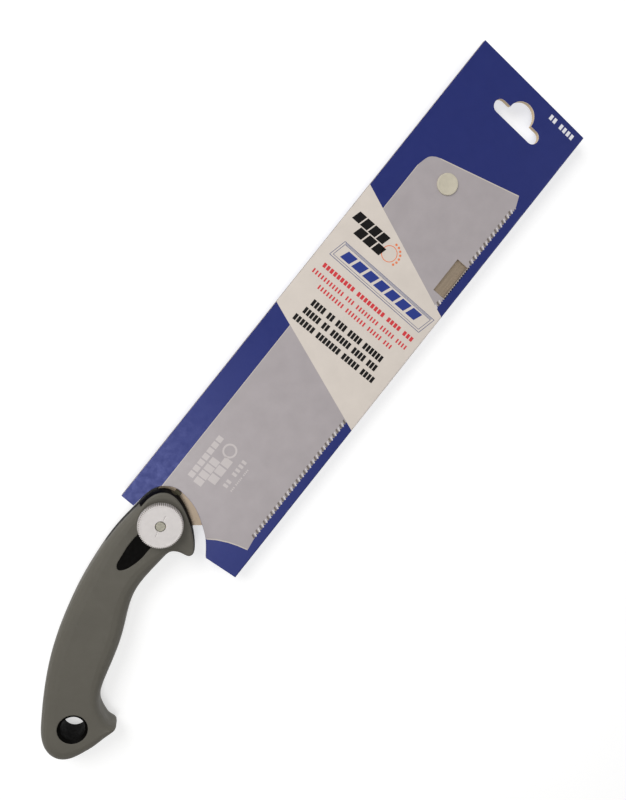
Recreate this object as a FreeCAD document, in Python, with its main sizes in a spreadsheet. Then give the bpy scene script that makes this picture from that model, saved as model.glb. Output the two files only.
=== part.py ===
import FreeCAD
import Part
import Sketcher
import math
import os

Vector = FreeCAD.Vector

# A Japanese pull saw lying on its side in its card sleeve. While the pieces are built the
# frame is centred on the clamp bolt: +X runs along the blade to its tip, the teeth are on
# the -Y side, +Z is the knob's side and z = 0 is the middle of the blade's thickness.
# At the end the whole saw is moved so that the origin is at its bottom centre.

doc = FreeCAD.newDocument("PullSaw")
sheet = doc.addObject("Spreadsheet::Sheet", "Sizes")

DRIVING_SIZES = {
    # blade
    "tooth_count": 146,
    "tooth_pitch": 1.815,
    "tooth_depth": 1.35,
    "blade_thickness": 0.7,
    "blade_width": 67.4,
    "heel_start": 22.5,
    "spine_height": 12.6,
    "tip_corner_radius": 13.0,
    "tip_hole_radius": 3.5,
    "tip_hole_inset": 18.2,
    "tip_hole_drop": 22.3,
    "tang_length": 24.0,
    # handle
    "grip_length": 137.0,
    "grip_half": 10.8,
    "skin": 2.4,
    "rim_cover": 1.3,
    "slot_play": 0.2,
    "slot_edge_play": 0.6,
    "hang_radius": 7.4,
    "hang_wall": 2.2,
    "hang_flare": 1.6,
    "pad_recess": 0.6,
    "boss_radius": 10.5,
    "boss_rise": 0.8,
    "rear_recess_radius": 8.6,
    "rear_recess_depth": 4.2,
    "rib_half": 3.2,
    "tab_clearance": 0.3,
    "tab_rise": 1.8,
    "tab_width": 4.0,
    "tab_reach": 20.2,
    # clamp
    "bolt_radius": 3.0,
    "bolt_play": 0.2,
    "bolt_head_radius": 6.6,
    "bolt_head_height": 2.4,
    "bolt_head_round": 1.2,
    "bolt_end_round": 0.5,
    "thread_play": 0.05,
    "washer_play": 0.1,
    "plate_side": 17.0,
    "plate_thickness": 1.2,
    "anchor_thickness": 1.4,
    "pin_back": 17.0,
    "pin_length": 12.0,
    "washer_radius": 9.5,
    "washer_thickness": 1.2,
    "retainer_radius": 5.6,
    "retainer_thickness": 0.6,
    "knob_radius": 13.5,
    "knob_height": 5.8,
    "knob_bevel": 0.6,
    "knurl_count": 84,
    "knurl_depth": 0.45,
    "insert_wall": 1.4,
    "insert_length": 4.4,
    # card sleeve
    "sleeve_mouth": 2.3,
    "sleeve_tip_margin": 54.8,
    "sleeve_spine_margin": 14.8,
    "sleeve_tooth_margin": 5.1,
    "board": 1.0,
    "blade_gap": 0.4,
    "fold_radius": 0.9,
    "spine_play": 1.0,
    "tip_play": 3.0,
    "filler_inset": 0.4,
    "filler_start": 24.0,
    "hang_slot_back": 26.8,
    "hang_slot_drop": 46.7,
    "hang_slot_width": 36.6,
    "hang_slot_height": 8.6,
    "hang_dome_radius": 9.0,
    "window_back": 72.7,
    "window_length": 24.4,
    "window_width": 8.7,
    "window_edge": 1.7,
    "disc_radius": 6.75,
    "disc_thickness": 1.1,
    "disc_round": 0.3,
}

# The handle's outline from the spine side over the head's front to the trigger horn, along
# the belly to the butt hook and back along the spine side. Each station holds x, y and how
# far the faces round off there. Behind NECK the x values stretch with the grip's length.
NECK = -20.0
GRIP_DRAWN = 137.0
HANDLE_STATIONS = [
    (-4.0, 17.0, 4.0), (5.0, 16.0, 1.8), (10.5, 14.6, 1.4), (15.4, 11.3, 1.4),
    (18.0, 6.3, 1.4), (17.9, 0.8, 1.4), (16.1, -4.8, 1.4), (13.2, -10.4, 1.4),
    (9.4, -16.2, 1.4), (4.6, -22.0, 1.4), (-0.4, -26.4, 1.4), (-4.4, -28.0, 1.4),
    (-6.9, -26.8, 1.4), (-7.8, -24.4, 1.6), (-8.6, -20.8, 2.2), (-11.2, -16.8, 3.2),
    (-17.0, -15.4, 5.0), (-25.0, -14.8, 7.0), (-34.0, -14.2, 8.0), (-44.0, -14.8, 8.0),
    (-55.0, -18.4, 8.0), (-68.0, -24.4, 8.0), (-80.0, -28.8, 8.0), (-92.0, -32.2, 7.5),
    (-101.0, -34.8, 6.5), (-108.2, -38.0, 5.0), (-113.6, -42.6, 4.0), (-116.8, -48.4, 4.0),
    (-118.4, -54.0, 4.0), (-118.8, -58.4, 3.6), (-125.2, -57.6, 4.4), (-133.6, -55.4, 5.0),
    (-143.6, -51.6, 6.5), (-150.2, -47.6, 7.0), (-153.6, -43.0, 7.0),
    (-154.6, -38.2, 7.0), (-153.6, -32.8, 7.0), (-149.4, -26.2, 7.0), (-141.0, -19.6, 7.5),
    (-128.0, -11.4, 8.0), (-112.0, -2.6, 8.0), (-95.0, 4.8, 8.0), (-77.0, 10.4, 8.0),
    (-58.0, 14.8, 8.0), (-39.0, 17.4, 7.0), (-21.0, 18.4, 6.0),
]
ROUNDING_STARTS = 0.35
ROUNDING_ANGLES = (0, 25, 45, 65, 90)
CORE_SHARE = 0.35
HANG_HOLE = (-131.7, -36.4)
LEAF_POINTS = [
    (-3.0, 5.4), (-14.0, 6.5), (-24.0, 6.6), (-31.5, 5.7), (-36.0, 4.4), (-37.2, 2.5),
    (-35.8, 0.2), (-31.0, -2.4), (-23.0, -4.3), (-14.0, -4.9), (-3.0, -5.0),
]
RIM_ZONE = [
    (1.0, 22.0), (32.0, 22.0), (32.0, -40.0), (-5.5, -40.0), (-5.5, -20.0), (7.5, -5.0),
    (7.5, 10.0), (1.0, 13.0),
]
RIB_ZONE = [(-29.5, 12.5), (8.0, 12.5), (8.0, 25.0), (-29.5, 25.0)]
TAB_FOOT = 14.0
TAB_CENTRE = 1.8

# The blade's tang and heel, and the sleeve's mouth where it is cut round the handle's head.
TANG_TOP_BEND = (6.0, 10.5)
TANG_TOP_END = 9.0
SHOULDER = 13.5
TANG_BOTTOM_END = -7.5
TANG_BOTTOM = [(-8.0, -9.5), (2.0, -14.0), (8.6, -18.7), (11.6, -22.8)]
HEEL_BEND = (18.6, -38.0)
NOSE_REACH = 7.5
NOSE_RISE = 4.7
TIP_LEAN = 15.5
TIP_LEAN_HEIGHT = 49.7
TOOTH_FACE = 0.25
MOUTH_TEETH_SIDE = (-3.1, -37.1)
MOUTH_CURVE = [
    (0.6, -34.4), (6.0, -29.8), (11.8, -22.6), (16.4, -15.6), (19.3, -8.4), (20.8, -0.6),
    (20.9, 4.0), (19.3, 8.4), (16.5, 12.4), (12.6, 15.1), (8.0, 16.6), (2.6, 17.4),
]
MOUTH_SPINE_SIDE = (-2.9, 18.0)

# Heights that several pieces share, measured from the middle of the blade.
BOSS_TOP = "(Sizes.grip_half + Sizes.boss_rise)"
KNOB_BASE = "(Sizes.grip_half + Sizes.boss_rise + Sizes.washer_thickness)"
KNOB_TOP = "(Sizes.grip_half + Sizes.boss_rise + Sizes.washer_thickness + Sizes.knob_height)"
RECESS_FLOOR = "(Sizes.rear_recess_depth - Sizes.grip_half)"
HEAD_SEAT = "(Sizes.rear_recess_depth - Sizes.grip_half - Sizes.anchor_thickness)"
SLOT_HALF = "(Sizes.blade_thickness / 2 + Sizes.slot_play)"
PANEL_INSIDE = "(Sizes.blade_thickness / 2 + Sizes.blade_gap)"
PANEL_OUTSIDE = "(Sizes.blade_thickness / 2 + Sizes.blade_gap + Sizes.board)"


def fill_sheet():
    for row, (name, value) in enumerate(DRIVING_SIZES.items(), start=1):
        sheet.set("A%d" % row, name)
        sheet.set("B%d" % row, str(value))
        sheet.setAlias("B%d" % row, name)
    doc.recompute()


def size(name):
    return float(sheet.get(name))


def point(place, z=0.0):
    return Vector(place[0], place[1], z)


# ---- sketches and features


def polyline(points):
    ends = points[1:] + points[:1]
    return [Part.LineSegment(point(start), point(end)) for start, end in zip(points, ends)]


def open_polyline(points):
    pairs = zip(points[:-1], points[1:])
    return [Part.LineSegment(point(start), point(end)) for start, end in pairs]


def arc_through(start, middle, end):
    return Part.Arc(point(start), point(middle), point(end))


def smooth_curve(points, closed):
    curve = Part.BSplineCurve()
    curve.interpolate(Points=[point(place) for place in points], PeriodicFlag=closed)
    return curve


def rectangle(low, high):
    return polyline([low, (high[0], low[1]), high, (low[0], high[1])])


def centre_square(side):
    return rectangle((-side / 2, -side / 2), (side / 2, side / 2))


def new_body(label):
    body = doc.addObject("PartDesign::Body", label)
    body.Label = label
    return body


def body_sketch(body, name, geometry, height="0"):
    sketch = body.newObject("Sketcher::SketchObject", name)
    flat = [item for item in body.Origin.OriginFeatures if item.Role == "XY_Plane"][0]
    sketch.AttachmentSupport = [(flat, "")]
    sketch.MapMode = "FlatFace"
    sketch.addGeometry(geometry, False)
    sketch.setExpression("AttachmentOffset.Base.z", height)
    return sketch


def circle_sketch(body, name, radius, height="0", centre=(0.0, 0.0)):
    circle = Part.Circle(point(centre), Vector(0, 0, 1), 1.0)
    sketch = body_sketch(body, name, [circle], height)
    if centre == (0.0, 0.0):
        sketch.addConstraint(Sketcher.Constraint("Coincident", 0, 3, -1, 1))
    limit = sketch.addConstraint(Sketcher.Constraint("Radius", 0, 1.0))
    sketch.setExpression("Constraints[%d]" % limit, radius)
    return sketch


def pad(body, sketch, length, symmetric=False, downward=False):
    feature = body.newObject("PartDesign::Pad", sketch.Name + "_pad")
    feature.Profile = sketch
    feature.SideType = "Symmetric" if symmetric else "One side"
    feature.Reversed = downward
    feature.setExpression("Length", length)
    doc.recompute()
    return feature


def pocket(body, sketch, length, symmetric=False, upward=False):
    before = body.Shape.Volume
    feature = body.newObject("PartDesign::Pocket", sketch.Name + "_pocket")
    feature.Profile = sketch
    feature.SideType = "Symmetric" if symmetric else "One side"
    feature.Reversed = upward
    feature.setExpression("Length", length)
    doc.recompute()
    if body.Shape.Volume >= before:
        raise ValueError("%s removes nothing" % feature.Name)
    return feature


def edges_at(shape, test):
    return ["Edge%d" % (index + 1) for index, edge in enumerate(shape.Edges) if test(edge)]


def fillet(body, base, test, radius):
    feature = body.newObject("PartDesign::Fillet", base.Name + "_fillet")
    feature.Base = (base, edges_at(base.Shape, test))
    feature.setExpression("Radius", radius)
    doc.recompute()
    return feature


def extrusion(name, geometry, bottom, top):
    """A straight solid over a closed outline between two heights given as expressions."""
    sketch = doc.addObject("Sketcher::SketchObject", name + "_outline")
    sketch.addGeometry(geometry, False)
    sketch.setExpression("Placement.Base.z", bottom)
    solid = doc.addObject("Part::Extrusion", name)
    solid.Base = sketch
    solid.DirMode = "Normal"
    solid.Solid = True
    solid.setExpression("LengthFwd", "%s - (%s)" % (top, bottom))
    return solid


def cylinder(name, radius, bottom, top, centre=(0.0, 0.0)):
    solid = doc.addObject("Part::Cylinder", name)
    solid.Placement.Base = point(centre)
    solid.setExpression("Radius", radius)
    solid.setExpression("Height", "%s - (%s)" % (top, bottom))
    solid.setExpression("Placement.Base.z", bottom)
    return solid


def cone(name, low_radius, high_radius, bottom, top, centre):
    solid = doc.addObject("Part::Cone", name)
    solid.Placement.Base = point(centre)
    solid.setExpression("Radius1", low_radius)
    solid.setExpression("Radius2", high_radius)
    solid.setExpression("Height", "%s - (%s)" % (top, bottom))
    solid.setExpression("Placement.Base.z", bottom)
    return solid


def turned(name, profile):
    """A solid of revolution about the bolt's axis, from (radius, height) points."""
    sketch = doc.addObject("Sketcher::SketchObject", name + "_profile")
    sketch.addGeometry(polyline(profile), False)
    sketch.Placement = FreeCAD.Placement(Vector(), FreeCAD.Rotation(Vector(1, 0, 0), 90))
    solid = doc.addObject("Part::Revolution", name)
    solid.Source = sketch
    solid.Axis = Vector(0, 0, 1)
    solid.Solid = True
    return solid


def fuse(name, solids):
    feature = doc.addObject("Part::MultiFuse", name)
    feature.Shapes = solids
    return feature


def common(name, solids):
    feature = doc.addObject("Part::MultiCommon", name)
    feature.Shapes = solids
    return feature


def cut(name, base, tool):
    feature = doc.addObject("Part::Cut", name)
    feature.Base = base
    feature.Tool = tool
    return feature


# ---- handle


def stretch(x):
    if x > NECK:
        return x
    return NECK + (x - NECK) * size("grip_length") / GRIP_DRAWN


def outward_normals(points):
    normals = []
    for index, before in enumerate(points):
        after = points[(index + 2) % len(points)]
        along = Vector(after[0] - before[0], after[1] - before[1], 0)
        along.normalize()
        normals.append((-along.y, along.x))
    return normals[-1:] + normals[:-1]


def handle_outline(inset):
    plan = [(stretch(x), y) for x, y, rounding in HANDLE_STATIONS]
    outline = []
    for here, normal, station in zip(plan, outward_normals(plan), HANDLE_STATIONS):
        depth = inset(station[2])
        outline.append((here[0] - normal[0] * depth, here[1] - normal[1] * depth))
    return [smooth_curve(outline, True)]


def handle_envelope():
    """The outside of the whole handle: its outline carried round the edges' rounding."""
    upper = []
    for angle in ROUNDING_ANGLES:
        turn = math.radians(angle)
        share = ROUNDING_STARTS + (1 - ROUNDING_STARTS) * math.sin(turn)
        upper.append((share, 1 - math.cos(turn)))
    levels = [(-share, reach) for share, reach in reversed(upper)] + upper
    sections = []
    for index, (share, reach) in enumerate(levels):
        sketch = doc.addObject("Sketcher::SketchObject", "handle_section_%d" % index)
        sketch.addGeometry(handle_outline(lambda rounding: rounding * reach), False)
        sketch.setExpression("Placement.Base.z", "Sizes.grip_half * %.4f" % share)
        sections.append(sketch)
    loft = doc.addObject("Part::Loft", "handle_envelope")
    loft.Sections = sections
    loft.Solid = True
    loft.Ruled = True
    return loft


def core_zones(hang_hole):
    """Everything that the black moulding fills: its skeleton under the soft skin, and the
    places where it comes out through the skin."""
    core_half = "(Sizes.grip_half - Sizes.skin)"
    rim_half = "(Sizes.grip_half - Sizes.rim_cover)"
    pad_half = "(Sizes.grip_half - Sizes.pad_recess)"
    skin = size("skin")
    skeleton = handle_outline(lambda rounding: skin + CORE_SHARE * rounding)
    leaf = [smooth_curve(LEAF_POINTS, True)]
    hang_outside = "Sizes.hang_radius + Sizes.hang_wall"
    hang_lip = "Sizes.hang_radius + Sizes.hang_flare"
    return [
        extrusion("skeleton_zone", skeleton, "-" + core_half, core_half),
        extrusion("rim_zone", polyline(RIM_ZONE), "-" + rim_half, rim_half),
        extrusion("rib_zone", polyline(RIB_ZONE), "-Sizes.rib_half", "Sizes.rib_half"),
        extrusion("leaf_zone", leaf, "-" + pad_half, pad_half),
        cylinder("boss_zone", "Sizes.boss_radius", "-Sizes.grip_half", "Sizes.grip_half"),
        cylinder("hang_zone", hang_outside, "-" + core_half, core_half, hang_hole),
        cylinder("hang_lip_zone", hang_lip, "-Sizes.grip_half", "Sizes.grip_half", hang_hole),
    ]


def index_tab():
    """The small tab on the head's rim that lies over the blade's face."""
    half = size("tab_width") / 2
    low = (TAB_FOOT, TAB_CENTRE - half)
    high = (size("tab_reach"), TAB_CENTRE + half)
    bottom = "Sizes.blade_thickness / 2 + Sizes.tab_clearance"
    top = "Sizes.blade_thickness / 2 + Sizes.tab_clearance + Sizes.tab_rise"
    return extrusion("index_tab", rectangle(low, high), bottom, top)


def blade_slot():
    """The slot that the tang lies in, open over the whole front of the head."""
    play = size("slot_edge_play")
    back = -size("tang_length") - play
    front = 40.0
    lower = [(x, y - play) for x, y in TANG_BOTTOM]
    top = size("spine_height") + play
    outline = [(back, top), (back, TANG_BOTTOM_END - play)] + lower + [(front, lower[-1][1])]
    outline.append((front, top))
    return extrusion("blade_slot", polyline(outline), "-" + SLOT_HALF, SLOT_HALF)


def core_cuts(hang_hole):
    bolt_hole = "Sizes.bolt_radius + Sizes.bolt_play"
    side = size("plate_side")
    through = "(Sizes.grip_half + 5)"
    retainer_floor = BOSS_TOP + " - 2 * Sizes.retainer_thickness"
    face = "Sizes.grip_half"
    flare_floor = "Sizes.grip_half - Sizes.hang_flare"
    wide = "Sizes.hang_radius + Sizes.hang_flare"
    narrow = "Sizes.hang_radius"
    plate_top = SLOT_HALF + " + Sizes.plate_thickness"
    pin_centre = (-size("pin_back"), 0.0)
    half_pin = "(Sizes.pin_length / 2)"
    return [
        blade_slot(),
        cylinder("bolt_hole", bolt_hole, "-" + through, through),
        cylinder("pin_hole", "Sizes.bolt_radius", "-" + half_pin, half_pin, pin_centre),
        extrusion("plate_pocket", centre_square(side), SLOT_HALF, plate_top),
        cylinder("rear_recess", "Sizes.rear_recess_radius", "-" + through, RECESS_FLOOR),
        cylinder("retainer_recess", "Sizes.retainer_radius", retainer_floor, through),
        cylinder("hang_bore", narrow, "-" + through, through, hang_hole),
        cone("front_flare", narrow, wide, flare_floor, face, hang_hole),
        cone("rear_flare", wide, narrow, "-" + face, "-(%s)" % flare_floor, hang_hole),
    ]


def handle():
    hang_hole = (stretch(HANG_HOLE[0]), HANG_HOLE[1])
    envelope = handle_envelope()
    zones = fuse("core_zones", core_zones(hang_hole))
    mass = common("core_mass", [envelope, zones])
    boss = cylinder("front_boss", "Sizes.boss_radius", "Sizes.grip_half", BOSS_TOP)
    solid_core = fuse("solid_core", [mass, boss, index_tab()])
    core = cut("handle_core", solid_core, fuse("core_cuts", core_cuts(hang_hole)))

    face = "Sizes.grip_half"
    leaf = [smooth_curve(LEAF_POINTS, True)]
    skin_cuts = fuse("skin_cuts", [
        zones,
        extrusion("leaf_window", leaf, "-" + face, face),
    ])
    grip = cut("soft_grip", envelope, skin_cuts)
    return [core, grip]


# ---- blade


def tooth_edge():
    pitch = size("tooth_pitch")
    start = size("heel_start")
    tip = size("spine_height") - size("blade_width")
    gullet = tip + size("tooth_depth")
    edge = []
    for index in range(int(size("tooth_count"))):
        root = start + index * pitch
        edge.append((root, gullet))
        edge.append((root + TOOTH_FACE * pitch, tip))
    edge.append((start + size("tooth_count") * pitch, gullet))
    return edge


def tooth_end():
    return size("heel_start") + size("tooth_count") * size("tooth_pitch")


def blade_nose():
    return tooth_end() + NOSE_REACH


def corner_arc(before, corner, after, radius):
    """The arc that rounds a corner, as its start, middle and end."""
    away = point(before) - point(corner)
    onward = point(after) - point(corner)
    away.normalize()
    onward.normalize()
    half = away.getAngle(onward) / 2
    tangent = radius / math.tan(half)
    bisector = away + onward
    bisector.normalize()
    depth = radius / math.sin(half) - radius
    places = (away * tangent, bisector * depth, onward * tangent)
    return [(corner[0] + step.x, corner[1] + step.y) for step in places]


def blade_outline():
    spine = size("spine_height")
    back = -size("tang_length")
    slot = size("bolt_radius") + size("bolt_play")
    teeth = tooth_edge()
    nose = (blade_nose(), spine - size("blade_width") + NOSE_RISE)
    lean = TIP_LEAN / TIP_LEAN_HEIGHT
    corner = (nose[0] - lean * (spine - nose[1]), spine)
    shoulder = (SHOULDER, spine)
    round_start, round_middle, round_end = corner_arc(
        nose, corner, shoulder, size("tip_corner_radius"))
    tang = [shoulder, TANG_TOP_BEND, (back, TANG_TOP_END), (back, slot), (0.0, slot)]
    under = [(0.0, -slot), (back, -slot), (back, TANG_BOTTOM_END)] + TANG_BOTTOM
    edges = open_polyline(teeth + [nose, round_start])
    edges.append(arc_through(round_start, round_middle, round_end))
    edges += open_polyline([round_end] + tang)
    edges.append(arc_through(tang[-1], (slot, 0.0), under[0]))
    edges += open_polyline(under)
    edges.append(arc_through(under[-1], HEEL_BEND, teeth[0]))
    return edges


def tip_hole():
    return (tooth_end() - size("tip_hole_inset"), size("spine_height") - size("tip_hole_drop"))


def blade():
    body = new_body("blade")
    plate = body_sketch(body, "blade_outline", blade_outline())
    pad(body, plate, "Sizes.blade_thickness", symmetric=True)
    hole = circle_sketch(body, "tip_hole", "Sizes.tip_hole_radius", centre=tip_hole())
    pocket(body, hole, "Sizes.blade_thickness * 2", symmetric=True)
    return [body]


# ---- clamp


def clamp_bolt():
    body = new_body("clamp_bolt")
    shank = circle_sketch(body, "bolt_shank", "Sizes.bolt_radius", HEAD_SEAT)
    full = pad(body, shank, "%s - %s" % (KNOB_TOP, HEAD_SEAT))
    highest = full.Shape.BoundBox.ZMax - 0.001
    fillet(body, full, lambda edge: edge.BoundBox.ZMin > highest, "Sizes.bolt_end_round")
    square = body_sketch(body, "bolt_neck", centre_square(2 * size("bolt_radius")), HEAD_SEAT)
    pad(body, square, "Sizes.anchor_thickness")
    head = circle_sketch(body, "bolt_head", "Sizes.bolt_head_radius", HEAD_SEAT)
    base = pad(body, head, "Sizes.bolt_head_height", downward=True)
    lowest = base.Shape.BoundBox.ZMin + 0.001
    fillet(body, base, lambda edge: edge.BoundBox.ZMax < lowest, "Sizes.bolt_head_round")
    return body


def ring(label, outside, inside, bottom, thickness):
    body = new_body(label)
    disc = circle_sketch(body, label + "_rim", outside, bottom)
    pad(body, disc, thickness)
    hole = circle_sketch(body, label + "_hole", inside, bottom)
    pocket(body, hole, thickness, upward=True)
    return body


def anchor_plate():
    body = new_body("anchor_plate")
    disc = circle_sketch(body, "anchor_rim", "Sizes.rear_recess_radius", HEAD_SEAT)
    pad(body, disc, "Sizes.anchor_thickness")
    square = centre_square(2 * size("bolt_radius"))
    hole = body_sketch(body, "anchor_hole", square, HEAD_SEAT)
    pocket(body, hole, "Sizes.anchor_thickness", upward=True)
    return body


def pressure_plate():
    body = new_body("pressure_plate")
    outline = centre_square(size("plate_side"))
    pad(body, body_sketch(body, "plate_outline", outline, SLOT_HALF), "Sizes.plate_thickness")
    hole_radius = "Sizes.bolt_radius + Sizes.bolt_play"
    hole = circle_sketch(body, "plate_hole", hole_radius, SLOT_HALF)
    pocket(body, hole, "Sizes.plate_thickness", upward=True)
    return body


def tang_pin():
    body = new_body("tang_pin")
    centre = (-size("pin_back"), 0.0)
    pin = circle_sketch(body, "pin_round", "Sizes.bolt_radius", centre=centre)
    pad(body, pin, "Sizes.pin_length", symmetric=True)
    return body


def knurled_outline():
    count = int(size("knurl_count"))
    radius = size("knob_radius")
    points = []
    for index in range(count):
        for share, reach in ((0.0, radius), (0.5, radius - size("knurl_depth"))):
            turn = 2 * math.pi * (index + share) / count
            points.append((reach * math.cos(turn), reach * math.sin(turn)))
    return points


def clamp_knob():
    base = size("grip_half") + size("boss_rise") + size("washer_thickness")
    top = base + size("knob_height")
    bevel = size("knob_bevel")
    radius = size("knob_radius")
    profile = [(0.0, base), (radius - bevel, base), (radius, base + bevel)]
    profile += [(radius, top - bevel), (radius - bevel, top), (0.0, top)]
    knurled = extrusion("knurled_bar", polyline(knurled_outline()), KNOB_BASE, KNOB_TOP)
    blank = common("knob_blank", [knurled, turned("knob_profile", profile)])
    bore = "Sizes.bolt_radius + Sizes.thread_play"
    insert = bore + " + Sizes.insert_wall"
    holes = fuse("knob_holes", [
        cylinder("knob_bore", bore, KNOB_BASE, KNOB_TOP),
        cylinder("insert_bore", insert, KNOB_BASE, KNOB_BASE + " + Sizes.insert_length"),
    ])
    return cut("clamp_knob", blank, holes)


def clamp():
    bore = "Sizes.bolt_radius + Sizes.thread_play"
    retainer_floor = BOSS_TOP + " - 2 * Sizes.retainer_thickness"
    washer_hole = "Sizes.bolt_radius + Sizes.washer_play"
    return [
        clamp_bolt(),
        anchor_plate(),
        pressure_plate(),
        tang_pin(),
        ring("bolt_retainer", "Sizes.retainer_radius", "Sizes.bolt_radius", retainer_floor,
             "Sizes.retainer_thickness"),
        ring("thrust_washer", "Sizes.washer_radius", washer_hole, BOSS_TOP,
             "Sizes.washer_thickness"),
        clamp_knob(),
        ring("knob_insert", bore + " + Sizes.insert_wall", bore, KNOB_BASE,
             "Sizes.insert_length"),
    ]


# ---- card sleeve


def sleeve_end():
    return blade_nose() + size("sleeve_tip_margin")


def sleeve_top():
    return size("spine_height") + size("sleeve_spine_margin")


def sleeve_bottom():
    return size("spine_height") - size("blade_width") - size("sleeve_tooth_margin")


def sleeve_outline():
    mouth = -size("sleeve_mouth")
    low_corner = (mouth, sleeve_bottom())
    high_corner = (mouth, sleeve_top())
    edges = open_polyline([MOUTH_SPINE_SIDE, high_corner, (sleeve_end(), sleeve_top()),
                           (sleeve_end(), sleeve_bottom()), low_corner, MOUTH_TEETH_SIDE])
    edges.append(smooth_curve([MOUTH_TEETH_SIDE] + MOUTH_CURVE + [MOUTH_SPINE_SIDE], False))
    return edges


def hang_slot_outline():
    """A shop hanger's slot: a flat lower edge, a lobe at each side and a dome between."""
    low = sleeve_end() - size("hang_slot_back")
    centre = sleeve_top() - size("hang_slot_drop")
    lobe = size("hang_slot_height") / 2
    reach = size("hang_slot_width") / 2
    dome = size("hang_dome_radius")
    top = low + 2 * lobe
    sides = []
    for side in (1, -1):
        sides.append([(low, centre + side * (reach - lobe)), (low + lobe, centre + side * reach),
                      (top, centre + side * (reach - lobe)), (top, centre + side * dome)])
    high, other = sides
    edges = [arc_through(high[0], high[1], high[2])]
    edges += open_polyline([high[2], high[3]])
    edges.append(arc_through(high[3], (top + dome, centre), other[3]))
    edges += open_polyline([other[3], other[2]])
    edges.append(arc_through(other[2], other[1], other[0]))
    edges += open_polyline([other[0], high[0]])
    return edges


def sleeve_wrap():
    body = new_body("sleeve_wrap")
    full = "2 * " + PANEL_OUTSIDE
    outline = body_sketch(body, "wrap_outline", sleeve_outline())
    base = pad(body, outline, full, symmetric=True)
    fold = sleeve_bottom() + 0.001

    def on_fold(edge):
        return edge.BoundBox.YMax < fold and edge.BoundBox.ZLength < 0.001
    fillet(body, base, on_fold, "Sizes.fold_radius")
    inside = sleeve_bottom() + size("board")
    gap = rectangle((-20.0, inside), (sleeve_end() + 10.0, sleeve_top() + 10.0))
    pocket(body, body_sketch(body, "blade_space", gap), "2 * " + PANEL_INSIDE, symmetric=True)
    hang_slot = body_sketch(body, "wrap_hang_slot", hang_slot_outline())
    pocket(body, hang_slot, full, symmetric=True)
    start = tooth_end() - size("window_back")
    edge = size("spine_height") - size("blade_width") + size("window_edge")
    corner = (start + size("window_length"), edge + size("window_width"))
    window = body_sketch(body, "window", rectangle((start, edge), corner), PANEL_INSIDE)
    pocket(body, window, "Sizes.board", upward=True)
    return body


def spine_filler():
    body = new_body("spine_filler")
    low = (size("filler_start"), size("spine_height") + size("spine_play"))
    high = (blade_nose() + size("tip_play"), sleeve_top() - size("filler_inset"))
    strip = body_sketch(body, "spine_strip", rectangle(low, high))
    pad(body, strip, "2 * " + PANEL_INSIDE, symmetric=True)
    return body


def tip_filler():
    body = new_body("tip_filler")
    inset = size("filler_inset")
    low = (blade_nose() + size("tip_play"), sleeve_bottom() + size("board"))
    high = (sleeve_end() - inset, sleeve_top() - inset)
    board = body_sketch(body, "tip_board", rectangle(low, high))
    pad(body, board, "2 * " + PANEL_INSIDE, symmetric=True)
    hang_slot = body_sketch(body, "filler_hang_slot", hang_slot_outline())
    pocket(body, hang_slot, "2 * " + PANEL_INSIDE, symmetric=True)
    return body


def closure_disc():
    body = new_body("closure_disc")
    disc = circle_sketch(body, "disc_round", "Sizes.disc_radius", PANEL_OUTSIDE, tip_hole())
    base = pad(body, disc, "Sizes.disc_thickness")
    highest = base.Shape.BoundBox.ZMax - 0.001
    fillet(body, base, lambda edge: edge.BoundBox.ZMin > highest, "Sizes.disc_round")
    return body


def card_sleeve():
    return [sleeve_wrap(), spine_filler(), tip_filler(), closure_disc()]


# ---- the whole saw


def check_document():
    for item in doc.Objects:
        if "Invalid" in item.State or "Error" in item.State:
            raise ValueError("%s failed: %s" % (item.Name, item.State))


def stand_on_origin(pieces):
    bounds = FreeCAD.BoundBox()
    for piece in pieces:
        bounds.add(piece.Shape.BoundBox)
    shift = Vector(-bounds.Center.x, -bounds.Center.y, -bounds.ZMin)
    for piece in pieces:
        piece.Placement = FreeCAD.Placement(shift, FreeCAD.Rotation())
    doc.recompute()
    return shift


def export(pieces):
    os.makedirs("parts", exist_ok=True)
    for piece in pieces:
        shape = piece.Shape
        if shape.isNull() or not shape.isValid():
            raise ValueError("%s has no valid shape" % piece.Label)
        shape.exportStep("parts/%s.step" % piece.Label)
        print("%-16s %d solid(s) %10.1f mm3" % (piece.Label, len(shape.Solids), shape.Volume))


fill_sheet()
saw_pieces = handle() + blade() + clamp() + card_sleeve()
doc.recompute()
check_document()
moved = stand_on_origin(saw_pieces)
check_document()
export(saw_pieces)
print("bolt axis and blade middle at", [round(value, 4) for value in moved])
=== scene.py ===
import math
import random

import bmesh
import bpy
from mathutils import Matrix, Vector


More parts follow.
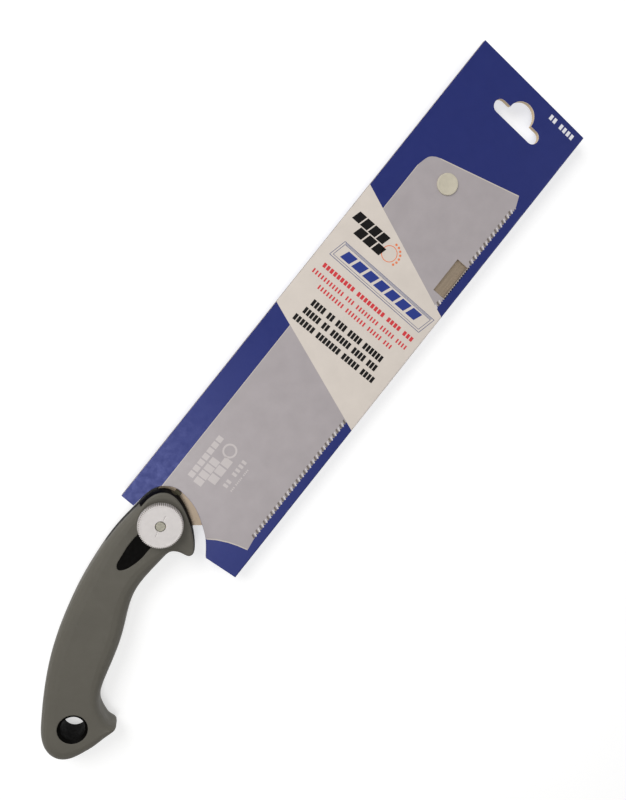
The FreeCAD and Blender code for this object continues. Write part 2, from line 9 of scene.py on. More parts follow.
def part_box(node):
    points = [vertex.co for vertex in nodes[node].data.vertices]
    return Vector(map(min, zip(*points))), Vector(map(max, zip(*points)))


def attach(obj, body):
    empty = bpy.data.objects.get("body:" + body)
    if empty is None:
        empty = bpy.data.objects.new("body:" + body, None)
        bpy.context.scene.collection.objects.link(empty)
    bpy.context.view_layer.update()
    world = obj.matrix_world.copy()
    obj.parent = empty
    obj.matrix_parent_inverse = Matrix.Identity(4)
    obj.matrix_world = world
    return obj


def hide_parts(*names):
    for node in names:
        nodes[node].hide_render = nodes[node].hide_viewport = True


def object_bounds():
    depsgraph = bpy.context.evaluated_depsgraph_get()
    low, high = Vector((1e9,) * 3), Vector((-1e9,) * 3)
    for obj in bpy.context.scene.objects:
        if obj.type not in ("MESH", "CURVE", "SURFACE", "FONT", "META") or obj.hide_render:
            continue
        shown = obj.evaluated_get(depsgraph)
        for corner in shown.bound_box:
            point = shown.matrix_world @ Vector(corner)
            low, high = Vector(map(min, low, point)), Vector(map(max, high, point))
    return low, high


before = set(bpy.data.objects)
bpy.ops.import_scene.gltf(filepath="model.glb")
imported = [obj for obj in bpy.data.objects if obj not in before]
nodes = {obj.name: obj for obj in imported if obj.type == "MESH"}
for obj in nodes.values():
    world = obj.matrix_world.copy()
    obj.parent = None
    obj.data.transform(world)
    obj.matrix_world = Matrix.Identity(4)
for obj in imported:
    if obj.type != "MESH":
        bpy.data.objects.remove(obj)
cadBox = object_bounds()

mm = 0.001

# Places below are in millimetres from the clamp bolt's axis and the middle of the blade.
boltLow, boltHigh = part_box("clamp_bolt")
bladeLow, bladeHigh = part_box("blade")
wrapLow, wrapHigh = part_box("sleeve_wrap")
knobLow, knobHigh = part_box("clamp_knob")
boltAxis = Vector(((boltLow.x + boltHigh.x) / 2, (boltLow.y + boltHigh.y) / 2,
                   (bladeLow.z + bladeHigh.z) / 2))


def place(x, y, z=0.0):
    return boltAxis + Vector((x, y, z)) * mm


def inSaw(corner):
    return (corner - boltAxis) / mm


print("frame loaded, bolt axis at", [round(value, 4) for value in boltAxis])


# Colours are given as eight-bit ink values and turned into linear light.
def inkChannel(value):
    share = value / 255
    if share <= 0.04045:
        return share / 12.92
    return ((share + 0.055) / 1.055) ** 2.4


def ink(red, green, blue):
    return (inkChannel(red), inkChannel(green), inkChannel(blue), 1.0)


def newFinish(name, colour, roughness, metallic=0.0, coat=0.0, coatRoughness=0.2, specular=0.5):
    material = bpy.data.materials.new(name)
    material.use_nodes = True
    tree = material.node_tree
    shader = tree.nodes["Principled BSDF"]
    shader.inputs["Base Color"].default_value = colour
    shader.inputs["Roughness"].default_value = roughness
    shader.inputs["Metallic"].default_value = metallic
    shader.inputs["Coat Weight"].default_value = coat
    shader.inputs["Coat Roughness"].default_value = coatRoughness
    shader.inputs["Specular IOR Level"].default_value = specular
    return material, tree, shader


def addNode(tree, kind, **settings):
    node = tree.nodes.new(kind)
    for key, value in settings.items():
        setattr(node, key, value)
    return node


def objectPlaces(tree, stretch=(1.0, 1.0, 1.0)):
    texture = addNode(tree, "ShaderNodeTexCoord")
    mapping = addNode(tree, "ShaderNodeMapping", vector_type="TEXTURE")
    mapping.inputs["Location"].default_value = boltAxis
    mapping.inputs["Scale"].default_value = [1 / value for value in stretch]
    tree.links.new(texture.outputs["Object"], mapping.inputs["Vector"])
    return mapping.outputs["Vector"]


def grain(tree, places, scale, detail=4.0, roughness=0.55):
    texture = addNode(tree, "ShaderNodeTexNoise")
    texture.inputs["Scale"].default_value = scale
    texture.inputs["Detail"].default_value = detail
    texture.inputs["Roughness"].default_value = roughness
    tree.links.new(places, texture.inputs["Vector"])
    return texture.outputs["Fac"]


def spread(tree, value, low, high, fromLow=0.3, fromHigh=0.7):
    ranged = addNode(tree, "ShaderNodeMapRange")
    ranged.inputs["From Min"].default_value = fromLow
    ranged.inputs["From Max"].default_value = fromHigh
    ranged.inputs["To Min"].default_value = low
    ranged.inputs["To Max"].default_value = high
    tree.links.new(value, ranged.inputs["Value"])
    return ranged.outputs["Result"]


def calculate(tree, operation, first, second=None):
    sums = addNode(tree, "ShaderNodeMath", operation=operation)
    for index, value in enumerate((first, second)):
        if value is None:
            continue
        if isinstance(value, (int, float)):
            sums.inputs[index].default_value = value
        else:
            tree.links.new(value, sums.inputs[index])
    return sums.outputs["Value"]


def blendColours(tree, share, first, second):
    mix = addNode(tree, "ShaderNodeMix", data_type="RGBA")
    for socket, value in ((mix.inputs["Factor"], share), (mix.inputs[6], first),
                          (mix.inputs[7], second)):
        if hasattr(value, "is_linked"):
            tree.links.new(value, socket)
        else:
            socket.default_value = value
    return mix.outputs[2]


def relief(tree, shader, height, distance, strength=1.0):
    bump = addNode(tree, "ShaderNodeBump")
    bump.inputs["Distance"].default_value = distance
    bump.inputs["Strength"].default_value = strength
    tree.links.new(height, bump.inputs["Height"])
    previous = shader.inputs["Normal"]
    if previous.is_linked:
        tree.links.new(previous.links[0].from_socket, bump.inputs["Normal"])
    tree.links.new(bump.outputs["Normal"], shader.inputs["Normal"])


def shade(colour, factor):
    return (colour[0] * factor, colour[1] * factor, colour[2] * factor, 1.0)


def mottled(tree, shader, places, colour, scale, amount):
    share = spread(tree, grain(tree, places, scale), 0.0, 1.0)
    mixed = blendColours(tree, share, shade(colour, 1 - amount), shade(colour, 1 + amount))
    tree.links.new(mixed, shader.inputs["Base Color"])
    return mixed


# Grain scales count features to the metre, so 1700 is a grain of about 0.6 mm.
softSkinLook = {"colour": ink(89, 86, 78), "roughness": 0.62, "mottle": 0.04}


def softSkinFinish():
    look = softSkinLook
    material, tree, shader = newFinish("softSkin", look["colour"], look["roughness"],
                                       specular=0.3)
    shader.inputs["Sheen Weight"].default_value = 0.05
    shader.inputs["Sheen Roughness"].default_value = 0.5
    places = objectPlaces(tree)
    mottled(tree, shader, places, look["colour"], 60, look["mottle"])
    rough = spread(tree, grain(tree, places, 220), look["roughness"] - 0.06,
                   look["roughness"] + 0.08)
    tree.links.new(rough, shader.inputs["Roughness"])
    relief(tree, shader, grain(tree, places, 1700, 2.0), 0.00004)
    relief(tree, shader, grain(tree, places, 260, 3.0), 0.00006, 0.4)
    return material


nylonLook = {
    "colour": ink(8, 7, 6), "tab": ink(74, 71, 58), "tabStart": 18.05, "roughness": 0.52,
}


def nylonFinish():
    look = nylonLook
    material, tree, shader = newFinish("blackNylon", look["colour"], look["roughness"],
                                       specular=0.04)
    places = objectPlaces(tree)
    mixed = mottled(tree, shader, places, look["colour"], 140, 0.2)
    parts = addNode(tree, "ShaderNodeSeparateXYZ")
    tree.links.new(places, parts.inputs["Vector"])
    onTab = calculate(tree, "GREATER_THAN", parts.outputs["X"], look["tabStart"] * mm)
    tree.links.new(blendColours(tree, onTab, mixed, look["tab"]), shader.inputs["Base Color"])
    rough = spread(tree, grain(tree, places, 500), look["roughness"] - 0.08,
                   look["roughness"] + 0.12)
    tree.links.new(rough, shader.inputs["Roughness"])
    relief(tree, shader, grain(tree, places, 2600, 2.0), 0.00004)
    return material


def steelFinish(name, colour, roughness, scale):
    material, tree, shader = newFinish(name, colour, roughness, 1.0)
    places = objectPlaces(tree)
    mottled(tree, shader, places, colour, scale, 0.09)
    rough = spread(tree, grain(tree, places, scale * 2), roughness - 0.07, roughness + 0.09)
    tree.links.new(rough, shader.inputs["Roughness"])
    relief(tree, shader, grain(tree, places, scale * 1.5, 3.0), 0.00002)
    return material


bladeSteelLook = {
    "colour": ink(162, 146, 127), "hardened": ink(102, 102, 110), "roughness": 0.46,
    "hardenedFrom": -51.6, "hardenedTo": -54.0,
}


def bladeFinish():
    look = bladeSteelLook
    material, tree, shader = newFinish("bladeSteel", look["colour"], look["roughness"], 0.6)
    places = objectPlaces(tree)
    lengthwise = objectPlaces(tree, (1.0, 30.0, 1.0))
    lines = grain(tree, lengthwise, 60, 6.0)
    share = spread(tree, lines, 0.0, 1.0)
    brushed = blendColours(tree, share, shade(look["colour"], 0.9), shade(look["colour"], 1.08))
    parts = addNode(tree, "ShaderNodeSeparateXYZ")
    tree.links.new(places, parts.inputs["Vector"])
    uneven = calculate(tree, "MULTIPLY", grain(tree, places, 300), 0.0012)
    depth = calculate(tree, "ADD", parts.outputs["Y"], uneven)
    hard = spread(tree, depth, 1.0, 0.0, look["hardenedTo"] * mm, look["hardenedFrom"] * mm)
    tree.links.new(blendColours(tree, hard, brushed, look["hardened"]),
                   shader.inputs["Base Color"])
    rough = spread(tree, lines, look["roughness"] - 0.08, look["roughness"] + 0.1)
    tree.links.new(rough, shader.inputs["Roughness"])
    relief(tree, shader, grain(tree, objectPlaces(tree, (1.0, 60.0, 1.0)), 90, 3.0), 0.000012)
    return material


boardLook = {"colour": ink(204, 182, 148), "roughness": 0.85}


def plainBoardFinish():
    look = boardLook
    material, tree, shader = newFinish("plainBoard", look["colour"], look["roughness"],
                                       specular=0.2)
    places = objectPlaces(tree, (1.0, 1.0, 5.0))
    mottled(tree, shader, places, look["colour"], 700, 0.16)
    relief(tree, shader, grain(tree, places, 900, 5.0), 0.00012)
    return material


printLook = {
    "blue": ink(36, 45, 106), "band": ink(212, 203, 194), "roughness": 0.36, "coat": 0.12,
    "coatRoughness": 0.22, "specular": 0.22, "tint": (0.48, 0.52, 1.0, 1.0),
    "tintedSpecular": 0.55, "tintedCoat": 0.02, "wornWidth": 0.9, "wear": 0.55,
    "wornColour": ink(176, 170, 166), "foldReach": 0.4,
    "bandCorners": ((237.3, 27.4), (204.9, -59.9), (114.2, -59.9), (146.7, 27.4)),
}


def inkFinish(name, colour, amount=0.02):
    look = printLook
    material, tree, shader = newFinish(name, colour, look["roughness"], coat=look["coat"],
                                       coatRoughness=look["coatRoughness"],
                                       specular=look["specular"])
    places = objectPlaces(tree)
    mottled(tree, shader, places, colour, 90, amount)
    rough = spread(tree, grain(tree, places, 320), look["roughness"] - 0.05,
                   look["roughness"] + 0.08)
    tree.links.new(rough, shader.inputs["Roughness"])
    relief(tree, shader, grain(tree, places, 1500, 4.0), 0.00003)
    relief(tree, shader, grain(tree, places, 28, 2.0), 0.0003, 0.3)
    return material


# Printed on the faces and the fold, bare paperboard on every cut edge.
def wrapFinish():
    look = printLook
    material = inkFinish("printedWrap", look["blue"], 0.03)
    tree = material.node_tree
    shader = tree.nodes["Principled BSDF"]
    shader.inputs["Specular Tint"].default_value = look["tint"]
    shader.inputs["Specular IOR Level"].default_value = look["tintedSpecular"]
    shader.inputs["Coat Weight"].default_value = look["tintedCoat"]
    printed = shader.inputs["Base Color"].links[0].from_socket
    places = objectPlaces(tree)
    where = addNode(tree, "ShaderNodeSeparateXYZ")
    tree.links.new(places, where.inputs["Vector"])
    (upperX, upperY), (lowerX, lowerY), (lastX, _), _ = look["bandCorners"]
    slant = (upperX - lowerX) / (upperY - lowerY)
    offset = calculate(tree, "MULTIPLY", where.outputs["Y"], -slant)
    straight = calculate(tree, "ADD", where.outputs["X"], offset)
    lastLine = (lastX - slant * lowerY) * mm
    firstLine = (lowerX - slant * lowerY) * mm
    pastLast = calculate(tree, "GREATER_THAN", straight, lastLine)
    beforeFirst = calculate(tree, "LESS_THAN", straight, firstLine)
    facing = calculate(tree, "GREATER_THAN", where.outputs["Z"], -0.0002)
    inBand = calculate(tree, "MULTIPLY", calculate(tree, "MULTIPLY", pastLast, beforeFirst),
                       facing)
    colours = blendColours(tree, inBand, printed, look["band"])
    edgeDistance = calculate(tree, "SUBTRACT", where.outputs["Y"],
                             inSaw(wrapLow).y * mm)
    worn = spread(tree, edgeDistance, 1.0, 0.0, 0.0, look["wornWidth"] * mm)
    patches = spread(tree, grain(tree, places, 160, 6.0), 0.0, 1.0, 0.56, 0.66)
    wear = calculate(tree, "MULTIPLY", calculate(tree, "MULTIPLY", worn, patches),
                     look["wear"])
    colours = blendColours(tree, wear, colours, look["wornColour"])

    geometry = addNode(tree, "ShaderNodeNewGeometry")
    parts = addNode(tree, "ShaderNodeSeparateXYZ")
    tree.links.new(geometry.outputs["True Normal"], parts.inputs["Vector"])
    upright = calculate(tree, "ABSOLUTE", parts.outputs["Z"])
    flat = calculate(tree, "GREATER_THAN", upright, 0.3)
    onFold = calculate(tree, "LESS_THAN", edgeDistance, look["foldReach"] * mm)
    covered = calculate(tree, "MAXIMUM", flat, onFold)
    fibre = spread(tree, grain(tree, objectPlaces(tree, (1.0, 1.0, 4.0)), 1100), 0.0, 1.0)
    bare = blendColours(tree, fibre, ink(182, 160, 128), ink(226, 212, 186))
    tree.links.new(blendColours(tree, covered, bare, colours), shader.inputs["Base Color"])
    return material


def plasticFinish(name, colour, roughness, specular=0.5):
    material, tree, shader = newFinish(name, colour, roughness, specular=specular)
    places = objectPlaces(tree)
    mottled(tree, shader, places, colour, 400, 0.035)
    rough = spread(tree, grain(tree, places, 600), roughness - 0.06, roughness + 0.08)
    tree.links.new(rough, shader.inputs["Roughness"])
    relief(tree, shader, grain(tree, places, 1500, 3.0), 0.00005)
    return material


# The knurl's valleys are painted darker and a little creamier than its crests, as painted shade in
# the grooves.
def knobFinish():
    look = knobLook
    material, tree, shader = newFinish("knobPlastic", look["colour"], 0.42, specular=0.3)
    places = objectPlaces(tree)
    plain = mottled(tree, shader, places, look["colour"], 400, 0.035)
    parts = addNode(tree, "ShaderNodeSeparateXYZ")
    tree.links.new(places, parts.inputs["Vector"])
    turn = calculate(tree, "ARCTAN2", parts.outputs["Y"], parts.outputs["X"])
    wave = calculate(tree, "COSINE", calculate(tree, "MULTIPLY", turn, look["ridges"]))
    valleyShade = spread(tree, wave, 0.0, 1.0, -0.2, 0.7)
    length = addNode(tree, "ShaderNodeVectorMath", operation="LENGTH")
    flat = addNode(tree, "ShaderNodeVectorMath", operation="MULTIPLY")
    flat.inputs[1].default_value = (1.0, 1.0, 0.0)
    tree.links.new(places, flat.inputs[0])
    tree.links.new(flat.outputs["Vector"], length.inputs[0])
    onSkirt = calculate(tree, "GREATER_THAN", length.outputs["Value"],
                        (look["radius"] - look["ridgeDepth"] - 0.1) * mm)
    # Painted shade: the skirt's valleys between the knurl crests take the darker valley colour.
    paintedShadeOnSkirt = calculate(tree, "MULTIPLY", valleyShade, onSkirt)
    tree.links.new(blendColours(tree, paintedShadeOnSkirt, plain, look["valleyShade"]),
                   shader.inputs["Base Color"])
    rough = spread(tree, grain(tree, places, 600), 0.36, 0.5)
    tree.links.new(rough, shader.inputs["Roughness"])
    relief(tree, shader, grain(tree, places, 1500, 3.0), 0.00005)
    return material


def ivoryFinish():
    return plasticFinish("ivoryPlastic", ink(195, 188, 170), 0.38, 0.3)


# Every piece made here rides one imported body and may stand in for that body's nodes.
def finishMesh(name, shape, body, material, replaced=(), smoothAngle=None):
    bmesh.ops.remove_doubles(shape, verts=shape.verts, dist=1e-7)
    bmesh.ops.recalc_face_normals(shape, faces=shape.faces)
    mesh = bpy.data.meshes.new(name)
    shape.to_mesh(mesh)
    shape.free()
    piece = bpy.data.objects.new(name, mesh)
    bpy.context.scene.collection.objects.link(piece)
    mesh.materials.append(material)
    if smoothAngle is not None:
        mesh.shade_smooth()
        mesh.set_sharp_from_angle(angle=math.radians(smoothAngle))
    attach(piece, body)
    if replaced:
        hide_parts(*replaced)


def closedLoop(shape, corners):
    return [shape.edges.new((corners[index - 1], corners[index])) for index in range(len(corners))]


def fillLoops(shape, loops, height=0.0):
    edges = []
    for loop in loops:
        corners = [shape.verts.new(place(x, y, height)) for x, y in loop]
        edges += closedLoop(shape, corners)
    bmesh.ops.triangle_fill(shape, use_beauty=True, use_dissolve=False, edges=edges)


def thicken(shape, thickness):
    grown = bmesh.ops.extrude_face_region(shape, geom=shape.faces[:])
    raised = [item for item in grown["geom"] if isinstance(item, bmesh.types.BMVert)]
    bmesh.ops.translate(shape, verts=raised, vec=Vector((0, 0, thickness * mm)))


def smoothLine(points, steps):
    line = []
    for index in range(len(points) - 1):
        before = Vector(points[max(index - 1, 0)])
        start = Vector(points[index])
        end = Vector(points[index + 1])
        after = Vector(points[min(index + 2, len(points) - 1)])
        for step in range(steps):
            share = step / steps
            square = share * share
            cube = square * share
            spot = (start * 2 + (end - before) * share
                    + (before * 2 - start * 5 + end * 4 - after) * square
                    + (start * 3 - before - end * 3 + after) * cube) / 2
            line.append((spot.x, spot.y))
    line.append(tuple(points[-1]))
    return line


def arcLine(centre, radius, startTurn, endTurn, steps):
    line = []
    for index in range(steps + 1):
        turn = math.radians(startTurn + (endTurn - startTurn) * index / steps)
        line.append((centre[0] + radius * math.cos(turn), centre[1] + radius * math.sin(turn)))
    return line


# The camera looks down on the saw from the knob's side.
cameraLook = {
    "place": (104.1, 78.9, 475.45), "target": (112.6, -28.1, 1.75), "upHeading": 39.26,
    "lens": 35.46, "shiftX": 0.0019, "shiftY": 0.0026,
}


def makeCamera():
    look = cameraLook
    data = bpy.data.cameras.new("studioCamera")
    data.lens = look["lens"]
    data.sensor_width = 36.0
    data.shift_x = look["shiftX"]
    data.shift_y = look["shiftY"]
    data.clip_start = 0.01
    camera = bpy.data.objects.new("studioCamera", data)
    bpy.context.scene.collection.objects.link(camera)
    spot = place(*look["place"])
    back = (spot - place(*look["target"])).normalized()
    heading = math.radians(look["upHeading"])
    right = Vector((math.cos(heading), math.sin(heading), 0)).cross(back).normalized()
    up = back.cross(right)
    turned = Matrix((right, up, back)).transposed().to_4x4()
    camera.matrix_world = Matrix.Translation(spot) @ turned
    bpy.context.scene.camera = camera


lightLook = {
    "key": {"place": (180, 820, 820), "size": 0.8, "power": 9.5},
    "fill": {"place": (900, -800, 700), "size": 0.9, "power": 2.6},
    "glare": {"place": (-215, -45, 1000), "size": 0.3, "power": 2.7},
    "world": 0.26,
    "floorColour": (0.55, 0.55, 0.55, 1.0), "floorGlow": 0.56,
}


def makeLights():
    for name in ("key", "fill", "glare"):
        look = lightLook[name]
        data = bpy.data.lights.new(name + "Light", "AREA")
        data.shape = "DISK"
        data.size = look["size"]
        data.energy = look["power"]
        lamp = bpy.data.objects.new(name + "Light", data)
        bpy.context.scene.collection.objects.link(lamp)
        spot = place(*look["place"])
        aim = place(60, 0, 0) - spot
        lamp.matrix_world = (Matrix.Translation(spot)
                             @ aim.to_track_quat("-Z", "Y").to_matrix().to_4x4())
    world = bpy.data.worlds.new("studioWorld")
    world.use_nodes = True
    sky = world.node_tree.nodes["Background"]
    sky.inputs["Color"].default_value = (1.0, 0.99, 0.97, 1.0)
    sky.inputs["Strength"].default_value = lightLook["world"]
    bpy.context.scene.world = world


def makeFloor():
    floorColour = lightLook["floorColour"]
    material, tree, shader = newFinish("paleFloor", floorColour, 0.8, specular=0.1)
    shader.inputs["Emission Color"].default_value = (1.0, 1.0, 1.0, 1.0)
    shader.inputs["Emission Strength"].default_value = lightLook["floorGlow"]
    places = objectPlaces(tree)
    mottled(tree, shader, places, floorColour, 6, 0.01)
    shape = bmesh.new()
    bmesh.ops.create_grid(shape, x_segments=2, y_segments=2, size=4.0)
    low = cadBox[0][2]
    bmesh.ops.translate(shape, verts=shape.verts, vec=Vector((0, 0, low - 0.0003)))
    mesh = bpy.data.meshes.new("floor")
    shape.to_mesh(mesh)
    shape.free()
    floor = bpy.data.objects.new("floor", mesh)
    mesh.materials.append(material)
    bpy.context.scene.collection.objects.link(floor)


bpy.context.scene.view_settings.view_transform = "Standard"
makeCamera()
makeLights()
makeFloor()
print("camera, lights and floor made")


def paintNode(name, material):
    nodes[name].data.materials.clear()
    nodes[name].data.materials.append(material)


# The skin is remeshed so that its rounded edges run smoothly into its faces.
gripMesh = {"voxel": 0.4, "smoothing": 6, "keep": 0.5}


def softGripPiece(material):
    shape = bmesh.new()
    shape.from_mesh(nodes["soft_grip"].data)
    bmesh.ops.remove_doubles(shape, verts=shape.verts, dist=1e-6)
    mesh = bpy.data.meshes.new("softGripSkin")
    shape.to_mesh(mesh)
    shape.free()
    piece = bpy.data.objects.new("softGripSkin", mesh)
    bpy.context.scene.collection.objects.link(piece)
    remesh = piece.modifiers.new("voxels", "REMESH")
    remesh.mode = "VOXEL"
    remesh.voxel_size = gripMesh["voxel"] * mm
    smoothing = piece.modifiers.new("smoothing", "SMOOTH")
    smoothing.factor = 0.5
    smoothing.iterations = gripMesh["smoothing"]
    thinning = piece.modifiers.new("thinning", "DECIMATE")
    thinning.ratio = gripMesh["keep"]
    graph = bpy.context.evaluated_depsgraph_get()
    settled = bpy.data.meshes.new_from_object(piece.evaluated_get(graph))
    piece.modifiers.clear()
    piece.data = settled
    settled.name = "softGripSkin"
    settled.materials.clear()
    settled.materials.append(material)
    settled.shade_smooth()
    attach(piece, "handle")
    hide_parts("soft_grip")
    print("soft grip:", len(settled.polygons), "faces")


paintNode("handle_core", nylonFinish())
softGripPiece(softSkinFinish())

plainSteel = steelFinish("plainSteel", ink(190, 186, 180), 0.36, 300)
for nodeName in ("anchor_plate", "pressure_plate", "tang_pin", "bolt_retainer",
                 "thrust_washer"):
    paintNode(nodeName, plainSteel)
paintNode("clamp_bolt", steelFinish("boltSteel", ink(147, 144, 132), 0.5, 400))
paintNode("knob_insert", steelFinish("turnedBrass", ink(200, 168, 96), 0.32, 200))


# The knob is a spun profile whose skirt is then knurled and its face scored.
knobLook = {
    "radius": 13.5, "bore": 3.1, "insertRadius": 4.45, "insertLength": 4.4,
    "bevel": 0.6, "faceDrop": 0.12, "ridges": 72, "stepsPerRidge": 8, "ridgeDepth": 0.95,
    "faceRings": 26,
    # The valley colour is painted shade laid into the knurl's grooves.
    "colour": ink(204, 199, 197), "valleyShade": ink(88, 80, 66),
    "grooveHeading": 11.9, "grooveReach": 6.8, "grooveHalf": 0.5, "grooveDepth": 0.22,
}


def knobProfile(low, high):
    look = knobLook
    face = high - look["faceDrop"]
    inner = low + look["insertLength"]
    rim = look["radius"] - look["bevel"]
    profile = [(look["insertRadius"], low), (rim, low), (look["radius"], low + look["bevel"]),
               (look["radius"], high - look["bevel"]), (rim + 0.12, high - 0.12),
               (rim - 0.35, high), (rim - 1.0, high - 0.02)]
    reach = rim - 1.3
    for index in range(look["faceRings"]):
        share = index / (look["faceRings"] - 1)
        profile.append((reach + (look["bore"] + 0.3 - reach) * share, face))
    profile += [(look["bore"], face - 0.3), (look["bore"], inner), (look["insertRadius"], inner)]
    return profile


def clampKnobPiece(material):
    look = knobLook
    low = inSaw(knobLow).z
    high = inSaw(knobHigh).z
    shape = bmesh.new()
    corners = [shape.verts.new(place(radius, 0, height))
               for radius, height in knobProfile(low, high)]
    edges = closedLoop(shape, corners)
    bmesh.ops.spin(shape, geom=corners + edges, cent=place(0, 0, 0), axis=(0, 0, 1),
                   angle=2 * math.pi, steps=look["ridges"] * look["stepsPerRidge"],
                   use_merge=True)
    heading = math.radians(look["grooveHeading"])
    for corner in shape.verts:
        spot = inSaw(corner.co)
        radius = math.hypot(spot.x, spot.y)
        turn = math.atan2(spot.y, spot.x)
        if radius > look["radius"] - 0.02:
            phase = (turn * look["ridges"] / (2 * math.pi)) % 1.0
            dip = look["ridgeDepth"] * (0.5 + 0.5 * math.cos(2 * math.pi * phase)) ** 0.7
            shrink = (radius - dip) / radius
            corner.co = place(spot.x * shrink, spot.y * shrink, spot.z)
        along = spot.x * math.cos(heading) + spot.y * math.sin(heading)
        across = abs(spot.y * math.cos(heading) - spot.x * math.sin(heading))
        onFace = spot.z > high - look["faceDrop"] - 0.01 and radius > look["bore"] + 0.1
        if onFace and abs(along) < look["grooveReach"] and across < look["grooveHalf"]:
            depth = look["grooveDepth"] * (1 - (across / look["grooveHalf"]) ** 2)
            corner.co.z -= depth * mm
    finishMesh("clampKnob", shape, "knob", material, ("clamp_knob",), 30)


clampKnobPiece(knobFinish())
print("handle and knob made")


# The blade is one flat outline whose teeth are then set to each side and bevelled.
bladeLook = {
    "teeth": 146, "pitch": 1.815, "toothDepth": 1.35, "heelStart": 22.5, "width": 67.4,
    "spine": 12.6, "faceShare": 0.25, "toothSet": 0.11, "fleam": 0.3, "cornerRadius": 13.0,
    "tipHole": 3.5, "tipHoleInset": 18.2, "tipHoleDrop": 22.3, "slot": 3.2,
    "tangLength": 24.0, "noseReach": 7.5, "noseRise": 4.7, "tipLean": 15.5 / 49.7,
    "shoulder": 13.5, "tangTop": (6.0, 10.5), "tangEnd": (9.0, -7.5),
    "tangBottom": [(-8.0, -9.5), (2.0, -14.0), (8.6, -18.7)],
    "heel": [(11.6, -22.8), (16.2, -31.5), (19.0, -40.0), (21.4, -48.5)],
}


def bladeOutline():
    look = bladeLook
    tip = look["spine"] - look["width"]
    gullet = tip + look["toothDepth"]
    edge = []
    for index in range(look["teeth"]):
        root = look["heelStart"] + index * look["pitch"]
        edge += [(root, gullet), (root + look["faceShare"] * look["pitch"], tip)]
    end = look["heelStart"] + look["teeth"] * look["pitch"]
    nose = (end + look["noseReach"], tip + look["noseRise"])
    edge += [(end, gullet), nose]
    corner = Vector((nose[0] - look["tipLean"] * (look["spine"] - nose[1]), look["spine"]))
    away = (Vector(nose) - corner).normalized()
    half = away.angle(Vector((-1, 0))) / 2
    reach = look["cornerRadius"] / math.tan(half)
    inward = (away + Vector((-1, 0))).normalized()
    centre = corner + inward * look["cornerRadius"] / math.sin(half)
    start = corner + away * reach - centre
    turns = math.degrees(math.atan2(start.y, start.x))
    edge += arcLine(centre, look["cornerRadius"], turns, 90, 20)
    back = -look["tangLength"]
    backTop, backBottom = ((back, height) for height in look["tangEnd"])
    edge += [(look["shoulder"], look["spine"]), look["tangTop"], backTop, (back, look["slot"])]
    edge += arcLine((0, 0), look["slot"], 90, -90, 18)
    edge += [(back, -look["slot"]), backBottom] + look["tangBottom"]
    edge += smoothLine(look["heel"] + [(look["heelStart"], gullet)], 6)[:-1]
    return edge


def bladePiece(material):
    look = bladeLook
    low = inSaw(bladeLow).z
    high = inSaw(bladeHigh).z
    end = look["heelStart"] + look["teeth"] * look["pitch"]
    holeCentre = (end - look["tipHoleInset"], look["spine"] - look["tipHoleDrop"])
    hole = arcLine(holeCentre, look["tipHole"], 0, 350, 35)
    shape = bmesh.new()
    fillLoops(shape, [bladeOutline(), hole], low)
    thicken(shape, high - low)
    tip = look["spine"] - look["width"]
    for corner in shape.verts:
        spot = inSaw(corner.co)
        if spot.y > tip + 0.01 or spot.x > end:
            continue
        index = int((spot.x - look["heelStart"]) / look["pitch"])
        side = 1 if index % 2 else -1
        corner.co.z += side * look["toothSet"] * mm
        if spot.z * side < 0:
            corner.co.y += look["fleam"] * mm
            corner.co.x += look["fleam"] * mm
    finishMesh("sawBlade", shape, "saw_blade", material, ("blade",), 25)


bladePiece(bladeFinish())
print("blade made")


plainBoard = plainBoardFinish()
paintNode("sleeve_wrap", wrapFinish())
paintNode("spine_filler", plainBoard)
paintNode("tip_filler", plainBoard)

discLook = {"centre": (269.3, -9.7), "radius": 6.75, "round": 0.45}


def closureDiscPiece(material):
    look = discLook
    low, high = (inSaw(corner).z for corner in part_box("closure_disc"))
    centre = look["centre"]
    radius = look["radius"]
    edgeRound = look["round"]
    profile = [(0.0, low), (radius, low), (radius, high - edgeRound)]
    for step in range(1, 6):
        turn = math.radians(90 * step / 5)
        profile.append((radius - edgeRound + edgeRound * math.cos(turn),
                        high - edgeRound + edgeRound * math.sin(turn)))
    profile += [(radius - 0.9, high), (radius - 1.2, high - 0.08), (1.2, high - 0.08),
                (0.7, high - 0.16), (0.0, high - 0.16)]
    shape = bmesh.new()
    corners = [shape.verts.new(place(centre[0] + reach, centre[1], height))
               for reach, height in profile]
    edges = [shape.edges.new(corners[index:index + 2]) for index in range(len(corners) - 1)]
    bmesh.ops.spin(shape, geom=corners + edges, cent=place(*centre), axis=(0, 0, 1),
                   angle=2 * math.pi, steps=72, use_merge=True)
    finishMesh("closureDisc", shape, "card_sleeve", material,
               ("closure_disc",), 40)


closureDiscPiece(ivoryFinish())


# The sleeve's print is raised ink, laid on the board's faces in thin numbered layers.
frontFace = inSaw(wrapHigh).z
backFace = inSaw(wrapLow).z
inkLayer = 0.03


def addBlock(shape, centre, size, lean=0.0):
    turned = Matrix.Identity(4)
    turned[0][0] = size[0] * mm
    turned[1][1] = size[1] * mm
    turned[1][0] = lean * size[0] * mm
    bmesh.ops.create_grid(shape, x_segments=1, y_segments=1, size=0.5,
                          matrix=Matrix.Translation(place(*centre)) @ turned)


def printInk(name, shape, material, layer=1, back=False):
    side = -1 if back else 1
    face = backFace if back else frontFace
    start = face + side * (0.004 + inkLayer * (layer - 1))
    bmesh.ops.translate(shape, verts=shape.verts, vec=Vector((0, 0, start * mm)))
    thicken(shape, side * inkLayer)
    finishMesh(name, shape, "card_sleeve", material)


def ring(centre, outer, inner):
    return [arcLine(centre, radius, 0, 350, 35) for radius in (outer, inner)]


# Rows of plain blocks, grouped like words, run down the sleeve or along it.
def wordsDown(shape, x, height, start, end, words, lean=0.0, boldness=0.8):
    count = sum(words) + 0.8 * (len(words) - 1)
    pitch = (start - end) / count
    y = start
    for word in words:
        for letter in range(word):
            addBlock(shape, (x, y - pitch / 2), (height, pitch * boldness), lean)
            y -= pitch
        y -= pitch * 0.8


